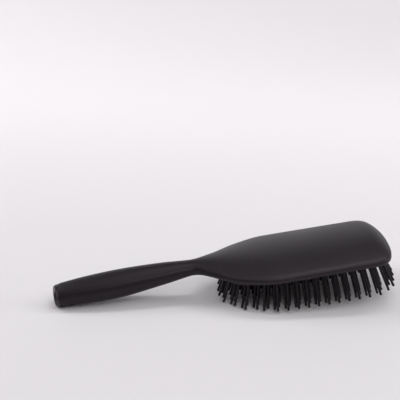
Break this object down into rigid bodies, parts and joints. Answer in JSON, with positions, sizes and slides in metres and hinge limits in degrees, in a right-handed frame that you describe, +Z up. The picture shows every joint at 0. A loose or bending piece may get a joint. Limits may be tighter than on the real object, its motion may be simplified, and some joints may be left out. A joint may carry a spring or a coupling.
{
  "type": "paddle hair brush",
  "caption": "Cushioned paddle hair brush: two-part moulded body with a waisted handle and an end cap, and a domed rubber pad with rows of ball-tipped pins that sink in.",
  "frame": {"origin": "centre of the bounding box's base, on the surface the brush lies on", "axes": "+X towards the head's end, +Y across the brush, +Z up, with the pins down"},
  "size_m": [0.2448, 0.0776, 0.0412],
  "materials": {
    "body_plastic": "satin black",
    "cap_plastic": "polished black",
    "pad_rubber": "matte black",
    "pin_nylon": "satin black"
  },
  "bodies": {
    "body": {"back_shell": "body_plastic", "front_frame": "body_plastic", "handle_end_cap": "cap_plastic", "cushion_rim": "pad_rubber"},
    "band_01": {"pin_band_01": "pin_nylon"},
    "band_02": {"pin_band_02": "pin_nylon"},
    "band_03": {"pin_band_03": "pin_nylon"},
    "band_04": {"pin_band_04": "pin_nylon"},
    "band_05": {"pin_band_05": "pin_nylon"},
    "band_06": {"pin_band_06": "pin_nylon"},
    "band_07": {"pin_band_07": "pin_nylon"},
    "band_08": {"pin_band_08": "pin_nylon"},
    "band_09": {"pin_band_09": "pin_nylon"},
    "band_10": {"pin_band_10": "pin_nylon"},
    "band_11": {"pin_band_11": "pin_nylon"},
    "band_12": {"pin_band_12": "pin_nylon"},
    "band_13": {"pin_band_13": "pin_nylon"},
    "band_14": {"pin_band_14": "pin_nylon"},
    "band_15": {"pin_band_15": "pin_nylon"},
    "band_16": {"pin_band_16": "pin_nylon"},
    "band_17": {"pin_band_17": "pin_nylon"}
  },
  "joints": [
    {"name": "press_01", "type": "slide", "parent": "body", "child": "band_01", "axis": [-0.1103, 0, 0.9939], "range_m": [0, 0.002], "stiffness_N_per_m": 250, "springref_m": -0.002},
    {"name": "press_02", "type": "slide", "parent": "body", "child": "band_02", "axis": [-0.1103, 0, 0.9939], "range_m": [0, 0.002], "stiffness_N_per_m": 250, "springref_m": -0.002},
    {"name": "press_03", "type": "slide", "parent": "body", "child": "band_03", "axis": [-0.1103, 0, 0.9939], "range_m": [0, 0.002], "stiffness_N_per_m": 250, "springref_m": -0.002},
    {"name": "press_04", "type": "slide", "parent": "body", "child": "band_04", "axis": [-0.1103, 0, 0.9939], "range_m": [0, 0.002], "stiffness_N_per_m": 250, "springref_m": -0.002},
    {"name": "press_05", "type": "slide", "parent": "body", "child": "band_05", "axis": [-0.1103, 0, 0.9939], "range_m": [0, 0.002], "stiffness_N_per_m": 250, "springref_m": -0.002},
    {"name": "press_06", "type": "slide", "parent": "body", "child": "band_06", "axis": [-0.1103, 0, 0.9939], "range_m": [0, 0.002], "stiffness_N_per_m": 250, "springref_m": -0.002},
    {"name": "press_07", "type": "slide", "parent": "body", "child": "band_07", "axis": [-0.1103, 0, 0.9939], "range_m": [0, 0.002], "stiffness_N_per_m": 250, "springref_m": -0.002},
    {"name": "press_08", "type": "slide", "parent": "body", "child": "band_08", "axis": [-0.1103, 0, 0.9939], "range_m": [0, 0.002], "stiffness_N_per_m": 250, "springref_m": -0.002},
    {"name": "press_09", "type": "slide", "parent": "body", "child": "band_09", "axis": [-0.1103, 0, 0.9939], "range_m": [0, 0.002], "stiffness_N_per_m": 250, "springref_m": -0.002},
    {"name": "press_10", "type": "slide", "parent": "body", "child": "band_10", "axis": [-0.1103, 0, 0.9939], "range_m": [0, 0.002], "stiffness_N_per_m": 250, "springref_m": -0.002},
    {"name": "press_11", "type": "slide", "parent": "body", "child": "band_11", "axis": [-0.1103, 0, 0.9939], "range_m": [0, 0.002], "stiffness_N_per_m": 250, "springref_m": -0.002},
    {"name": "press_12", "type": "slide", "parent": "body", "child": "band_12", "axis": [-0.1103, 0, 0.9939], "range_m": [0, 0.002], "stiffness_N_per_m": 250, "springref_m": -0.002},
    {"name": "press_13", "type": "slide", "parent": "body", "child": "band_13", "axis": [-0.1103, 0, 0.9939], "range_m": [0, 0.002], "stiffness_N_per_m": 250, "springref_m": -0.002},
    {"name": "press_14", "type": "slide", "parent": "body", "child": "band_14", "axis": [-0.1103, 0, 0.9939], "range_m": [0, 0.002], "stiffness_N_per_m": 250, "springref_m": -0.002},
    {"name": "press_15", "type": "slide", "parent": "body", "child": "band_15", "axis": [-0.1103, 0, 0.9939], "range_m": [0, 0.002], "stiffness_N_per_m": 250, "springref_m": -0.002},
    {"name": "press_16", "type": "slide", "parent": "body", "child": "band_16", "axis": [-0.1103, 0, 0.9939], "range_m": [0, 0.002], "stiffness_N_per_m": 250, "springref_m": -0.002},
    {"name": "press_17", "type": "slide", "parent": "body", "child": "band_17", "axis": [-0.1103, 0, 0.9939], "range_m": [0, 0.002], "stiffness_N_per_m": 250, "springref_m": -0.002}
  ]
}
